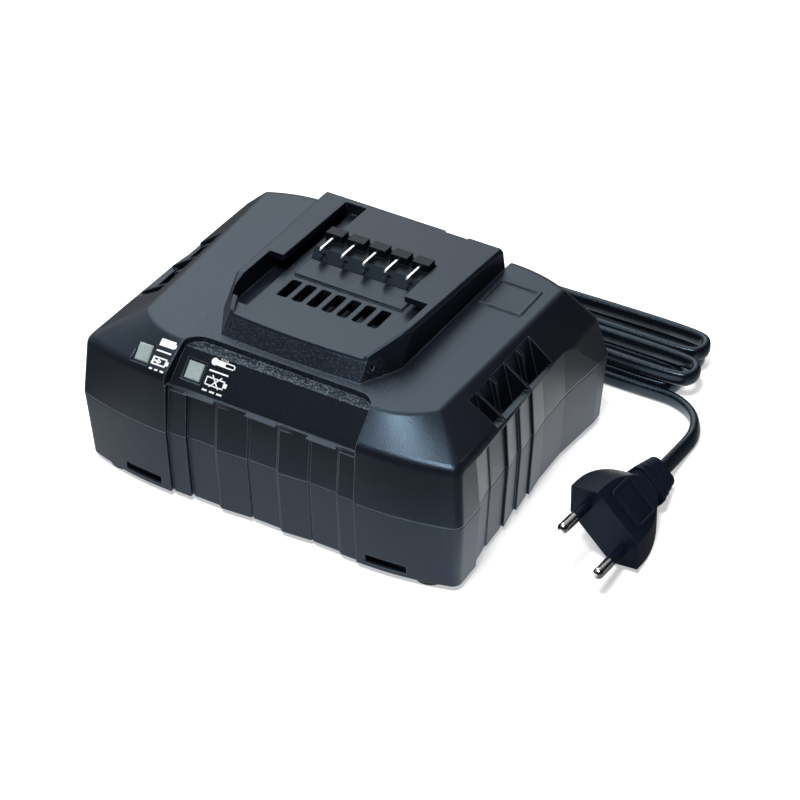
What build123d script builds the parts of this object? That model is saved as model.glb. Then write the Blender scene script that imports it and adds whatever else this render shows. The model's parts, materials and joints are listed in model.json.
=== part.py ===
"""Air-cooled charger for slide-on power tool batteries, with its mains lead and plug.

Millimetres. X runs across the charger, Y from front to back and Z up from the surface it
stands on. The origin is on that surface, under the middle of the housing.
"""

from build123d import *
import os
from math import cos, radians, sin, sqrt, tan

os.makedirs("parts", exist_ok=True)

# ---------------------------------------------------------------- housing outline
seam_half_width = 73.5  # at the joint between the two shells
half_depth = 59.0  # to the middle of the bowed front and rear
flat_half = 37.0  # where the straight middle of the front ends and its bow begins
seam_bow = 5.4  # how far the corners lie behind the middle
corner_radius = 3.5
foot_height = 2.4  # air gap under the housing
seam_height = 29.0
bottom_inset = 1.4  # draft of the lower shell
wall = 2.2
rib_allowance = 2.6  # material outside the wall, from which the ribs are cut

# shoulder: the crease between the upright band and the sloping top
shoulder_height = seam_height + 18.85  # at the middle of the depth
shoulder_slope = 0.0663  # it falls towards the rear
shoulder_front_inset = 1.7
shoulder_rear_inset = 3.1
shoulder_side_front = 71.7
shoulder_side_rear = 70.4

# plateau: the flat top around the battery dock
plateau_height = shoulder_height + 10.15
plateau_slope = 0.04
plateau_front = half_depth - 13.6
plateau_front_bow = 9.7
plateau_front_half_width = 56.0
plateau_rear = half_depth - 8.0
plateau_rear_bow = 6.0
plateau_rear_half_width = 59.4
plateau_corner_radius = 1.5
plateau_front_rounding = 3.0
shoulder_rounding = 4.0

# ---------------------------------------------------------------- front and rear panels
rib_gap = 0.8  # groove between two ribs
rib_groove_depth = 0.5
rib_lean = 6.7  # degrees that the upper band leans back
rib_draft = 3.0  # degrees that the lower band leans in
rib_high_ledge = shoulder_height + 0.15
rib_low_ledge = rib_high_ledge - 2.0
# left edge, right edge, depth behind the middle at each edge, height of the ledge on top
front_ribs = [
    (-36.2, -28.9, 1.0, 1.0, rib_low_ledge),
    (-28.9, -17.5, 2.0, 2.0, rib_high_ledge),
    (-17.5, -5.3, 0.9, 1.8, rib_low_ledge),
    (-5.3, 6.5, 2.0, 2.0, rib_high_ledge),
    (6.5, 18.2, 0.8, 1.8, rib_low_ledge),
    (18.2, 29.3, 1.8, 1.8, rib_high_ledge),
    (29.3, 36.6, 0.8, 0.8, rib_low_ledge),
]
front_grooves = [(rib[0] + rib_gap / 2, rib[2] + rib_groove_depth) for rib in front_ribs]

panel_half_width = 35.4
panel_foot_half_width = 37.0
panel_foot = half_depth - 4.2
panel_foot_height = shoulder_height - 0.95
panel_strip = panel_foot - 10.3  # front edge of the texture strip
panel_strip_height = panel_foot_height + 10.1
panel_back = panel_strip - 4.2  # where the texture strip meets the dock
panel_corner_radius = 7.0

# side ribs: front edge, rear edge, depth at each edge
side_rib_lean = 3.4
side_ribs = [
    (-40.0, -29.6, 0.9, 2.2),
    (-29.6, -18.6, 1.8, 2.1),
    (-18.6, -8.6, 1.2, 2.6),
    (-8.6, 0.2, 1.6, 2.4),
    (0.2, 9.0, 1.6, 2.4),
    (9.0, 24.8, 2.5, 2.5),
    (24.8, 46.0, 2.5, 0.0),
]
side_grooves = [(-18.6, 2.1 + rib_groove_depth), (0.2, 2.4 + rib_groove_depth)]

# notches for prising the shells apart, at the foot of the front and rear
notch_inner = 40.0
notch_outer = 55.0
notch_back = half_depth - 4.2
notch_bottom = 3.9
notch_top = 7.6

# ---------------------------------------------------------------- battery dock
dock_base_half_width = 36.2
dock_front_half_width = 26.8
dock_shoulder_half_width = 34.5
dock_lip_half_width = 26.3
dock_front = panel_back
dock_chamfer_back = 26.0
dock_rear = half_depth - 12.4
dock_top_height = plateau_height + 10.33
dock_top_slope = 0.089
dock_top_half_width = 35.5
dock_ridge_half_width = 33.7
dock_ridge_front = 15.0
dock_lip_front = 27.9
dock_lip_bow = 1.7
dock_bevel = 1.1
ramp_height = dock_top_height + 4.53  # the walls' tops ramp down to the lip on this plane
ramp_slope = -0.211
floor_height = dock_top_height - 5.13
floor_slope = 0.08
floor_skin = 2.4
dock_hollow_front = -31.5  # the space under the dock starts here
panel_skin = 2.5
floor_step = 0.8
bay_half_width = 30.7

flange_thickness = 2.5
left_flange_edge = -25.4
right_flange_edge = 21.7
flange_front = 1.5
deck_left_edge = -17.0
deck_front = 24.0
channel_rear = dock_rear - 3.4
channel_corner_radius = 4.0
rear_notch = (13.0, 22.0)
rear_notch_depth = 2.0
gutter_right_edge = -23.6
gutter_front = -25.0
gutter_depth = 3.0

slot_count = 7
slot_pitch = 5.8
slot_width = 3.9
slot_front = -14.4
slot_rear = -3.2
slot_offset = 0.5

# shallow field on the right of the plateau
field_x, field_y = 45.85, 31.5
field_length, field_width = 15.9, 16.0
field_depth = 0.5
field_rim = 1.0

# ---------------------------------------------------------------- contacts
blade_count = 5
blade_pitch = 8.44
blade_thickness = 0.7
blade_front = 9.6
blade_rear = 20.4
blade_top_above_dock = 1.0
blade_stem_front = 13.2
blade_offset = 0.6
block_left = -20.0
block_right = 21.6
block_front = 9.3
block_slope_depth = 4.7
block_top_below_dock = 1.0
block_neck_left = -17.6
block_neck_right = 18.8
block_neck_front = 12.8
block_neck_rear = 22.8
block_clearance = 0.1
block_slot_width = 2.2  # in front of each blade
cap_width = 6.4
cap_front = 19.6
cap_height = 2.9
terminal_board_height = floor_height - 6.2
blade_tail = 1.2  # solder tail under the terminal board

# ---------------------------------------------------------------- side vents
vent_front = -24.0
vent_rear = 17.0
vent_top_x = 60.0
vent_top_height = plateau_height - 1.5
vent_floor_x = 64.6
vent_floor_height = shoulder_height - 10.35
vent_band = 1.9
vent_divider_width = 0.9
vent_dividers = (-18.8, 0.2)
vent_rib_width = 1.5
vent_rib_depth = 2.0
vent_ribs = (-9.3, 8.9)

# ---------------------------------------------------------------- inside
board_length = 112.0
board_width = 80.0
board_thickness = 1.6
board_height = 10.0  # underside of the circuit board
board_post_x = 51.0
board_post_y = 35.0
post_radius = 3.5
screw_x = 61.5
screw_y = 37.5
boss_radius = 4.6
screw_radius = 1.75
screw_head_radius = 3.4
screw_head_height = 2.4
screw_seat = 8.0  # where the housing screws' heads bear
screw_bite = 12.0  # how far they reach into the upper shell
screw_clearance = 0.3
small_screw_radius = 1.25
small_head_radius = 2.4
small_head_height = 1.6
small_screw_bite = 4.0

fan_size = 40.0
fan_height = 10.0
fan_y = -10.0
fan_bottom = floor_height - 15.7
fan_bore = 18.8
fan_hole_offset = 16.0
fan_hub_radius = 8.5
fan_base = 2.0  # thickness of the plate and struts that carry the bearing
fan_strut_width = 2.5
fan_shaft_radius = 1.5
fan_blade_count = 7
fan_blade_thickness = 1.0
fan_vane_chord = 9.0
fan_vane_pitch = 35.0
bearing_clearance = 0.05
rotor_gap = 0.6

foot_radius = 6.0
foot_x = 60.0
foot_y = 48.5
foot_recess = 1.3

# ---------------------------------------------------------------- indicator lights
window_skin = 4.0  # length of the light guides behind the panel
window_top = -4.2  # upper edge of the windows, down the panel from its top
window_length = 6.1
fault_window = (-32.4, -26.5)  # left and right edges
charge_window = (-50.3, -45.0)
charge_window_rise = 3.4  # it lies higher, on the outer slope
led_height = 1.6
light_board_thickness = 1.2
light_board_left = -53.0
light_board_right = -24.0
light_board_top = -2.0
light_board_bottom = -12.5
light_post_x = -38.7
light_post_radius = 2.6
light_board_clearance = 0.8
light_pocket_depth = 8.0
window_frame = 0.8  # width and depth of the step round each window
window_frame_depth = 0.4

# ---------------------------------------------------------------- mains lead
cord_width = 5.6
cord_thickness = 3.4
cord_exit_x = -58.0
cord_exit_height = 14.0
relief_length = 18.6
relief_grip = 5.4  # from the bowed wall's deepest point to the inner collar
relief_neck_radius = 4.0
relief_collar_radius = 5.4
relief_tip_radius = 3.4
cord_bed = cord_width / 2 + 0.1  # height of the cord's centre where it lies on edge
plug_place = (105.61, -13.43, 13.45)  # middle of the plug's face
plug_pitch = 10.1  # degrees that its pins point up
plug_roll = 39.7  # degrees that its right edge hangs down
plug_length = 43.0  # from its face to the end of its tail


def falling(height, slope):
    """Plane that falls towards the rear: z = height - slope * y."""
    return Plane(origin=(0, 0, height), x_dir=(1, 0, 0), z_dir=(0, slope, 1))


plateau = falling(plateau_height, plateau_slope)
dock_top = falling(dock_top_height, dock_top_slope)
dock_floor = falling(floor_height, floor_slope)
shoulder = falling(shoulder_height, shoulder_slope)
ramp = falling(ramp_height, ramp_slope)
panel_face = Plane(origin=(0, -panel_strip, panel_strip_height), x_dir=(1, 0, 0),
                   z_dir=(0, panel_foot_height - panel_strip_height, panel_foot - panel_strip))

pitch, roll = radians(plug_pitch), radians(plug_roll)
plug_face = Plane(origin=plug_place, x_dir=(cos(roll), -sin(roll) * sin(pitch),
                                            -sin(roll) * cos(pitch)),
                  z_dir=(0, -cos(pitch), sin(pitch)))
plug_tail = plug_face.offset(-plug_length)

cut_bottom = plateau_height - 8.0  # limits of the tools that open the dock
cut_top = dock_top_height + 12.0
floor_top = foot_height + wall
board_top = board_height + board_thickness
screw_places = [(x, y) for x in (-screw_x, screw_x) for y in (-screw_y, screw_y)]
board_posts = [(x, y) for x in (-board_post_x, board_post_x)
               for y in (-board_post_y, board_post_y)]
fan_holes = [(x * fan_hole_offset, fan_y + y * fan_hole_offset) for x in (-1, 1) for y in (-1, 1)]
foot_places = [(x, y) for x in (-foot_x, foot_x) for y in (-foot_y, foot_y)]
blade_places = [(i - (blade_count - 1) / 2) * blade_pitch + blade_offset
                for i in range(blade_count)]
window_middle = window_top - window_length / 2
windows = {"fault_light_window": (fault_window, 0.0),
           "charge_light_window": (charge_window, charge_window_rise)}


def plan(plane, front, rear, side_front, side_rear, front_bow, rear_bow, radius):
    """Outline of the housing: straight middles, bowed ends, straight sides, round corners."""
    with BuildSketch(plane) as sketch:
        with BuildLine():
            middle = Line((0, -front), (flat_half, -front))
            bow = TangentArc(middle @ 1, (side_front, front_bow - front), tangent=(1, 0))
            rear_middle = Line((0, rear), (flat_half, rear))
            rear_arc = TangentArc(rear_middle @ 1, (side_rear, rear - rear_bow), tangent=(1, 0))
            Line(bow @ 1, rear_arc @ 1)
            mirror(about=Plane.YZ)
        outline = make_face()
        corners = outline.vertices().filter_by(lambda v: abs(v.X) > flat_half + 1)
        fillet(corners, radius=radius)
    return sketch.sketch


def straight_plan(height, inset):
    """Outline of the upright band at a height, set in all round."""
    return plan(Plane.XY.offset(height), half_depth - inset, half_depth - inset,
                seam_half_width - inset, seam_half_width - inset, seam_bow, seam_bow,
                corner_radius)


def upper_sections(inset, skin):
    """Sections of the upper shell at the seam, the shoulder and the plateau."""
    crease = plan(shoulder.offset(-skin / 2), half_depth - shoulder_front_inset - inset,
                  half_depth - shoulder_rear_inset - inset, shoulder_side_front - inset,
                  shoulder_side_rear - inset, seam_bow, seam_bow, corner_radius)
    top = plan(plateau.offset(-skin), plateau_front - inset, plateau_rear - inset,
               plateau_front_half_width - inset, plateau_rear_half_width - inset,
               plateau_front_bow, plateau_rear_bow, plateau_corner_radius)
    return [straight_plan(seam_height, inset), crease, top]


def lower_sections(inset, bottom):
    """Sections of the lower shell at its bottom and at the seam."""
    return [straight_plan(bottom, bottom_inset + inset), straight_plan(seam_height, inset)]


def box_at(x, y, z, mode=Mode.ADD):
    """Box between pairs of X, Y and Z limits, in the current part."""
    with Locations(((x[0] + x[1]) / 2, (y[0] + y[1]) / 2, (z[0] + z[1]) / 2)):
        Box(x[1] - x[0], y[1] - y[0], z[1] - z[0], mode=mode)


def rib_profile(plane, ribs, grooves):
    """What a row of ribs leaves outside them: steps along the plane's X, depths along its Y."""
    with BuildSketch(plane) as profile:
        for near, far, near_depth, far_depth in ribs:
            with BuildLine():
                Polyline((near, -rib_allowance), (far, -rib_allowance), (far, far_depth),
                         (near, near_depth), close=True)
            make_face()
        for place, depth in grooves:
            with Locations((place, (depth - rib_allowance) / 2)):
                Rectangle(rib_gap, depth + rib_allowance)
    return profile.sketch


def rib_tools(height, front_direction, side_direction):
    """Prisms that cut the ribs into all four sides of an upright band."""
    front_plane = Plane(origin=(0, -half_depth, seam_height), x_dir=(1, 0, 0), z_dir=(0, 0, 1))
    side_plane = Plane(origin=(seam_half_width, 0, seam_height), x_dir=(0, 1, 0),
                       z_dir=(0, 0, 1))
    with BuildPart() as front_tool:
        extrude(rib_profile(front_plane, [rib[:4] for rib in front_ribs], front_grooves),
                amount=height, dir=front_direction)
    with BuildPart() as side_tool:
        extrude(rib_profile(side_plane, side_ribs, side_grooves), amount=height,
                dir=side_direction)
    return [front_tool.part, front_tool.part.mirror(Plane.XZ), side_tool.part,
            side_tool.part.mirror(Plane.YZ)]


def lies_on(edge, plane):
    """Whether an edge lies in a plane, at its ends and its middle."""
    return all(abs(plane.to_local_coords(edge @ place).Z) < 0.3 for place in (0, 0.5, 1))


# ================================================================ tools for the upper shell
# Recess under the dock: a sloping smooth panel with a level strip above it.
with BuildPart() as panel_recess:
    with BuildSketch(Plane.XY.offset(panel_foot_height - 2)):
        with BuildLine():
            Polyline((-panel_half_width, -panel_back), (panel_half_width, -panel_back),
                     (panel_foot_half_width, -half_depth - 3),
                     (-panel_foot_half_width, -half_depth - 3), close=True)
        make_face()
    extrude(amount=20)
    fillet(panel_recess.edges().filter_by(Axis.Z).group_by(Axis.Y)[-1], panel_corner_radius)
    with BuildSketch(Plane.YZ):
        with BuildLine():
            Polyline((-panel_back + 1, panel_strip_height), (-panel_strip, panel_strip_height),
                     (-panel_foot, panel_foot_height), (-panel_foot, rib_high_ledge),
                     (-half_depth - 5, rib_high_ledge), (-half_depth - 5, cut_top),
                     (-panel_back + 1, cut_top), close=True)
        make_face()
    extrude(amount=100, both=True, mode=Mode.INTERSECT)

# What the ribs take away from the upright bands, and from the ledges over the lower ribs.
lean, side_lean = tan(radians(rib_lean)), tan(radians(side_rib_lean))
draft = tan(radians(rib_draft))
upper_ribs = rib_tools(shoulder_height - seam_height, (0, lean, 1), (-side_lean, 0, 1))
lower_ribs = rib_tools(seam_height - foot_height + 1, (0, draft, -1), (-draft, 0, -1))
with BuildPart() as ledge_tool:
    for left, right, _, _, ledge in front_ribs:
        if ledge == rib_low_ledge:
            box_at((left, right), (-half_depth - 4, -panel_foot - 0.9),
                   (ledge, rib_high_ledge + 4))

# Everything above the sloping floor of the dock, less its flanges and rear deck.
with BuildPart() as bay:
    run = (dock_lip_front + 5.1 - dock_ridge_front) / (dock_ridge_half_width - dock_lip_half_width)
    nose_half = bay_half_width - (dock_front - dock_ridge_front - 1) / run
    with BuildSketch(Plane.XY.offset(cut_bottom)):
        with BuildLine():
            Polyline((-nose_half, -dock_front - 2), (nose_half, -dock_front - 2),
                     (bay_half_width, -dock_ridge_front - 1), (bay_half_width, channel_rear),
                     (-bay_half_width, channel_rear), (-bay_half_width, -dock_ridge_front - 1),
                     close=True)
        make_face()
    extrude(amount=cut_top - cut_bottom)
    fillet(bay.edges().filter_by(Axis.Z).group_by(Axis.Y)[-1], channel_corner_radius)
    split(bisect_by=dock_floor, keep=Keep.TOP)
with BuildPart() as gutter:
    box_at((-bay_half_width, gutter_right_edge), (gutter_front, channel_rear),
           (cut_bottom, cut_top))
    fillet(gutter.edges().filter_by(Axis.Z).sort_by(Axis.Y)[-2:].sort_by(Axis.X)[0],
           channel_corner_radius)
    split(bisect_by=dock_floor.offset(-gutter_depth), keep=Keep.TOP)
with BuildPart() as overhang:
    box_at((-bay_half_width - 1, left_flange_edge), (flange_front, dock_rear + 5),
           (cut_bottom, cut_top))
    box_at((right_flange_edge, bay_half_width + 1), (flange_front, dock_rear + 5),
           (cut_bottom, cut_top))
    split(bisect_by=dock_top.offset(-flange_thickness), keep=Keep.TOP)
with BuildPart() as rear_deck:
    box_at((deck_left_edge, bay_half_width + 1), (deck_front, dock_rear + 5),
           (cut_bottom, cut_top))
with BuildPart() as raised_floor:
    box_at((block_left, right_flange_edge), (-0.5, deck_front), (cut_bottom, cut_top))
    split(bisect_by=dock_floor.offset(floor_step), keep=Keep.BOTTOM)
with BuildPart() as bay_tool:
    add(bay.part)
    add(gutter.part)
    add(overhang.part, mode=Mode.SUBTRACT)
    add(rear_deck.part, mode=Mode.SUBTRACT)
    add(raised_floor.part, mode=Mode.SUBTRACT)

# Well of the vent in the right side: open from the plateau's edge down to the shoulder, with
# dividers right across it and ribs on its inner wall.
vent_wall_x = seam_half_width - rib_allowance - vent_band
with BuildPart() as vent_mouth:
    box_at((vent_top_x, seam_half_width + 5), (vent_front, vent_rear), (cut_bottom - 10, cut_top))
    split(bisect_by=shoulder, keep=Keep.TOP)
with BuildPart() as vent_tool:
    with BuildSketch(Plane.XZ.offset(-vent_rear)):
        with BuildLine():
            vent_rise = cut_top - vent_floor_height
            Polyline((vent_top_x, cut_top), (vent_top_x, vent_top_height),
                     (vent_floor_x, vent_floor_height), (vent_wall_x, vent_floor_height),
                     (vent_wall_x - side_lean * vent_rise, cut_top), close=True)
        make_face()
    extrude(amount=vent_rear - vent_front)
    add(vent_mouth.part)
    with BuildSketch(Plane.XZ.offset(-vent_rear)):
        with BuildLine():
            Polyline((vent_top_x - 1, cut_top + 1), (vent_top_x - 1, vent_floor_height - 1),
                     (vent_floor_x, vent_floor_height - 1), (vent_floor_x, vent_floor_height),
                     (vent_top_x, vent_top_height), (vent_top_x, cut_top + 1), close=True)
        make_face()
    extrude(amount=vent_rear - vent_front, mode=Mode.SUBTRACT)
    for y in vent_ribs:
        with BuildSketch(Plane.XZ.offset(-y - vent_rib_width / 2)):
            with BuildLine():
                Polyline((vent_top_x - 1, vent_top_height),
                         (vent_top_x + vent_rib_depth, vent_top_height),
                         (vent_floor_x + vent_rib_depth, vent_floor_height - 1),
                         (vent_top_x - 1, vent_floor_height - 1), close=True)
            make_face()
        extrude(amount=vent_rib_width, mode=Mode.SUBTRACT)
    for y in vent_dividers:
        box_at((vent_top_x - 1, seam_half_width + 6),
               (y - vent_divider_width / 2, y + vent_divider_width / 2),
               (vent_floor_height - 1, cut_top + 1), mode=Mode.SUBTRACT)

# Pocket behind the panel for the board with the lights, less the post that carries it.
with BuildPart() as light_pocket:
    with BuildSketch(panel_face.offset(-window_skin)):
        with Locations(((light_board_left + light_board_right) / 2,
                        (light_board_top + light_board_bottom) / 2)):
            Rectangle(light_board_right - light_board_left + 2 * light_board_clearance,
                      light_board_top - light_board_bottom + 2 * light_board_clearance)
    extrude(amount=-light_pocket_depth)
    with BuildSketch(panel_face.offset(-window_skin)):
        with Locations((light_post_x, window_middle)):
            Circle(light_post_radius)
    extrude(amount=-led_height, mode=Mode.SUBTRACT)

# Hollow of the upper shell: what is left of it carries the bosses, posts and vent pockets.
with BuildPart() as dock_hollow:
    box_at((gutter_right_edge + floor_skin, bay_half_width - floor_skin),
           (dock_hollow_front, panel_back - panel_skin), (cut_bottom - 8, cut_top))
    split(bisect_by=dock_floor.offset(-floor_skin), keep=Keep.BOTTOM)
with BuildPart() as upper_hollow:
    loft(upper_sections(wall + rib_allowance, wall + 0.6), ruled=True)
    for end in (1, -1):
        with BuildSketch(Plane.YZ):
            with BuildLine():
                Polyline((end * (2.8 - panel_back), cut_top),
                         (end * (2.8 - panel_back), panel_strip_height - panel_skin),
                         (end * (1 - panel_strip), panel_strip_height - panel_skin),
                         (end * (1 - panel_foot), panel_foot_height - panel_skin),
                         (end * -2 * half_depth, panel_foot_height - panel_skin),
                         (end * -2 * half_depth, cut_top), close=True)
            make_face()
        extrude(amount=panel_foot_half_width + panel_skin, both=True, mode=Mode.SUBTRACT)
    add(dock_hollow.part)
    add(light_pocket.part)
    for side in (-1, 1):
        x_limits = sorted((side * (vent_top_x - wall), side * (seam_half_width + 5)))
        box_at(x_limits, (vent_front - wall, vent_rear + wall),
               (vent_floor_height - wall, cut_top), mode=Mode.SUBTRACT)
    with BuildSketch(Plane.XY.offset(seam_height)):
        with Locations(*screw_places):
            Circle(boss_radius)
    extrude(amount=40, mode=Mode.SUBTRACT)
    with BuildSketch(Plane.XY.offset(fan_bottom + fan_height)):
        with Locations(*fan_holes):
            Circle(post_radius)
    extrude(amount=20, mode=Mode.SUBTRACT)

# ================================================================ upper housing
def dock_outline(plane, inset):
    """Outline of the dock at its ridges: a bowed lip, sides that widen towards the rear."""
    with BuildSketch(plane) as outline:
        with BuildLine():
            lip = ThreePointArc((inset - dock_lip_half_width, -dock_lip_front),
                                (0, -dock_lip_front - dock_lip_bow),
                                (dock_lip_half_width - inset, -dock_lip_front))
            Polyline(lip @ 1, (dock_ridge_half_width - inset, -dock_ridge_front),
                     (dock_top_half_width - inset, dock_rear - 1),
                     (inset - dock_top_half_width, dock_rear - 1),
                     (inset - dock_ridge_half_width, -dock_ridge_front), lip @ 0)
        make_face()
    return outline.sketch


with BuildPart() as dock:
    with BuildSketch(plateau.offset(-4)) as dock_base:
        with BuildLine():
            nose = ThreePointArc((-dock_front_half_width, -dock_front), (0, -dock_front - 0.4),
                                 (dock_front_half_width, -dock_front))
            Polyline(nose @ 1, (dock_shoulder_half_width, -dock_chamfer_back),
                     (dock_base_half_width, dock_rear), (-dock_base_half_width, dock_rear),
                     (-dock_shoulder_half_width, -dock_chamfer_back), nose @ 0)
        make_face()
    loft([dock_base.sketch, dock_outline(dock_top.offset(-dock_bevel), 0),
          dock_outline(dock_top, dock_bevel)], ruled=True)
    split(bisect_by=ramp, keep=Keep.BOTTOM)

with BuildPart() as upper_housing:
    loft(upper_sections(0, 0), ruled=True)
    front_brow = upper_housing.edges().filter_by(lambda e: lies_on(e, plateau))
    fillet(front_brow.filter_by(lambda e: abs(e.center().Y) > plateau_front / 2),
           plateau_front_rounding)
    brow = upper_housing.edges().filter_by(lambda e: lies_on(e, shoulder))
    fillet(brow.filter_by(lambda e: e.center().Y < -plateau_front), shoulder_rounding)
    add(panel_recess.part.mirror(Plane.XZ), mode=Mode.SUBTRACT)
    add(dock.part)
    add(panel_recess.part, mode=Mode.SUBTRACT)
    add(ledge_tool.part, mode=Mode.SUBTRACT)
    add(ledge_tool.part.mirror(Plane.XZ), mode=Mode.SUBTRACT)
    for tool in upper_ribs:
        add(tool, mode=Mode.SUBTRACT)
    add(bay_tool.part, mode=Mode.SUBTRACT)
    add(vent_tool.part, mode=Mode.SUBTRACT)
    add(vent_tool.part.mirror(Plane.YZ), mode=Mode.SUBTRACT)
    add(upper_hollow.part, mode=Mode.SUBTRACT)
    for i in range(slot_count):
        x = (i - (slot_count - 1) / 2) * slot_pitch + slot_offset
        with BuildSketch(Plane.XY.offset(fan_bottom)):
            with Locations((x, (slot_front + slot_rear) / 2)):
                RectangleRounded(slot_width, slot_rear - slot_front, slot_width / 4)
        extrude(amount=cut_top - fan_bottom, mode=Mode.SUBTRACT)
    box_at((block_neck_left, block_neck_right), (block_neck_front, block_neck_rear),
           (terminal_board_height, floor_height + floor_step), mode=Mode.SUBTRACT)
    box_at(rear_notch, (dock_rear - rear_notch_depth, dock_rear + 2),
           (floor_height - 1, cut_top), mode=Mode.SUBTRACT)
    with BuildSketch(plateau):
        with Locations((field_x, field_y)):
            Rectangle(field_length, field_width)
            Rectangle(field_length - 2 * field_rim, field_width - 2 * field_rim,
                      mode=Mode.SUBTRACT)
    extrude(amount=field_depth)
    with BuildSketch(Plane.XY.offset(seam_height)):
        with Locations(*screw_places):
            Circle(screw_radius)
    extrude(amount=screw_bite, mode=Mode.SUBTRACT)
    with BuildSketch(Plane.XY.offset(fan_bottom + fan_height)):
        with Locations(*fan_holes):
            Circle(small_screw_radius)
    extrude(amount=small_screw_bite / 2, mode=Mode.SUBTRACT)
    for edges, rise in windows.values():
        with BuildSketch(panel_face.offset(-window_skin)):
            with Locations(((edges[0] + edges[1]) / 2, window_middle)):
                Rectangle(edges[1] - edges[0], window_length)
        extrude(amount=20, mode=Mode.SUBTRACT)
        with BuildSketch(panel_face.offset(rise - window_frame_depth)):
            with Locations(((edges[0] + edges[1]) / 2, window_middle)):
                Rectangle(edges[1] - edges[0] + 2 * window_frame,
                          window_length + 2 * window_frame)
        extrude(amount=20, mode=Mode.SUBTRACT)
    with BuildSketch(panel_face.offset(-window_skin - led_height)):
        with Locations((light_post_x, window_middle)):
            Circle(small_screw_radius)
    extrude(amount=small_screw_bite, mode=Mode.SUBTRACT)
upper_housing.part.label = "upper_housing"
export_step(upper_housing.part, "parts/upper_housing.step")

# ================================================================ lower housing
with BuildPart() as lower_hollow:
    loft(lower_sections(wall + rib_allowance, floor_top), ruled=True)
    with BuildSketch(Plane.XY.offset(floor_top)):
        with Locations(*screw_places):
            Circle(boss_radius)
    extrude(amount=seam_height - floor_top, mode=Mode.SUBTRACT)
    with BuildSketch(Plane.XY.offset(floor_top)):
        with Locations(*board_posts):
            Circle(post_radius)
    extrude(amount=board_height - floor_top, mode=Mode.SUBTRACT)
with BuildPart() as lower_housing:
    loft(lower_sections(0, foot_height), ruled=True)
    for tool in lower_ribs:
        add(tool, mode=Mode.SUBTRACT)
    add(lower_hollow.part, mode=Mode.SUBTRACT)
    with BuildSketch(Plane.XY.offset(foot_height)):
        with Locations(*foot_places):
            Circle(foot_radius)
    extrude(amount=foot_recess, mode=Mode.SUBTRACT)
    with BuildSketch(Plane.XY.offset(foot_height)):
        with Locations(*screw_places):
            Circle(screw_head_radius + screw_clearance)
    extrude(amount=screw_seat - foot_height, mode=Mode.SUBTRACT)
    with BuildSketch(Plane.XY.offset(foot_height)):
        with Locations(*screw_places):
            Circle(screw_radius + screw_clearance)
    extrude(amount=seam_height, mode=Mode.SUBTRACT)
    with BuildSketch(Plane.XY.offset(board_height)):
        with Locations(*board_posts):
            Circle(small_screw_radius)
    extrude(amount=-small_screw_bite, mode=Mode.SUBTRACT)
    with BuildSketch(Plane.XZ.offset(-half_depth)):
        with Locations((cord_exit_x, cord_exit_height)):
            Circle(relief_neck_radius)
    extrude(amount=12, mode=Mode.SUBTRACT)
    for side in (-1, 1):
        for end in (-1, 1):
            box_at(sorted((side * notch_inner, side * notch_outer)),
                   sorted((end * notch_back, end * 70)), (notch_bottom, notch_top),
                   mode=Mode.SUBTRACT)
lower_housing.part.label = "lower_housing"
export_step(lower_housing.part, "parts/lower_housing.step")

# ================================================================ feet and fasteners
with BuildPart() as rubber_feet:
    with BuildSketch():
        with Locations(*foot_places):
            Circle(foot_radius)
    extrude(amount=foot_height + foot_recess)
    chamfer(rubber_feet.edges().group_by(Axis.Z)[0], 0.6)
rubber_feet.part.label = "rubber_feet"
export_step(rubber_feet.part, "parts/rubber_feet.step")


def screws(plane, places, head_radius, head_height, radius, length):
    """Pan-head screws with a cross recess: heads stand below the plane, shanks above it."""
    with BuildPart() as fasteners:
        with BuildSketch(plane):
            with Locations(*places):
                Circle(head_radius)
        extrude(amount=-head_height)
        with BuildSketch(plane.offset(-head_height)):
            with Locations(*places):
                Rectangle(head_radius * 1.2, head_radius * 0.3)
                Rectangle(head_radius * 0.3, head_radius * 1.2)
        extrude(amount=head_height / 2, mode=Mode.SUBTRACT)
        with BuildSketch(plane):
            with Locations(*places):
                Circle(radius)
        extrude(amount=length)
    return fasteners.part


housing_screws = screws(Plane.XY.offset(screw_seat), screw_places, screw_head_radius,
                        screw_head_height, screw_radius, seam_height + screw_bite - screw_seat)
housing_screws.label = "housing_screws"
export_step(housing_screws, "parts/housing_screws.step")

fan_screws = screws(Plane.XY.offset(fan_bottom), fan_holes, small_head_radius,
                    small_head_height, small_screw_radius, fan_height + small_screw_bite / 2)
fan_screws.label = "fan_screws"
export_step(fan_screws, "parts/fan_screws.step")

upside_down = Plane(origin=(0, 0, board_top), x_dir=(1, 0, 0), z_dir=(0, 0, -1))
board_screws = screws(upside_down, board_posts, small_head_radius, small_head_height,
                      small_screw_radius, board_thickness + small_screw_bite)
board_screws.label = "board_screws"
export_step(board_screws, "parts/board_screws.step")

# ================================================================ circuit board and its parts
with BuildPart() as circuit_board:
    with BuildSketch(Plane.XY.offset(board_height)):
        Rectangle(board_length, board_width)
        with Locations(*board_posts):
            Circle(small_screw_radius, mode=Mode.SUBTRACT)
    extrude(amount=board_thickness)
circuit_board.part.label = "circuit_board"
export_step(circuit_board.part, "parts/circuit_board.step")

# Transformer: a ferrite core round a wound bobbin.
core_x, core_y = 12.0, 14.0
core_length, core_width, core_height = 34.0, 12.0, 26.0
core_limb = 5.0
core_leg = 9.0
core_window = (core_length - core_leg) / 2 - core_limb
with BuildPart() as transformer_core:
    with Locations((core_x, core_y, board_top + core_height / 2)):
        Box(core_length, core_width, core_height)
        with Locations(((core_leg + core_window) / 2, 0, 0), (-(core_leg + core_window) / 2, 0, 0)):
            Box(core_window, core_width, core_height - 2 * core_limb, mode=Mode.SUBTRACT)
transformer_core.part.label = "transformer_core"
export_step(transformer_core.part, "parts/transformer_core.step")

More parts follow.
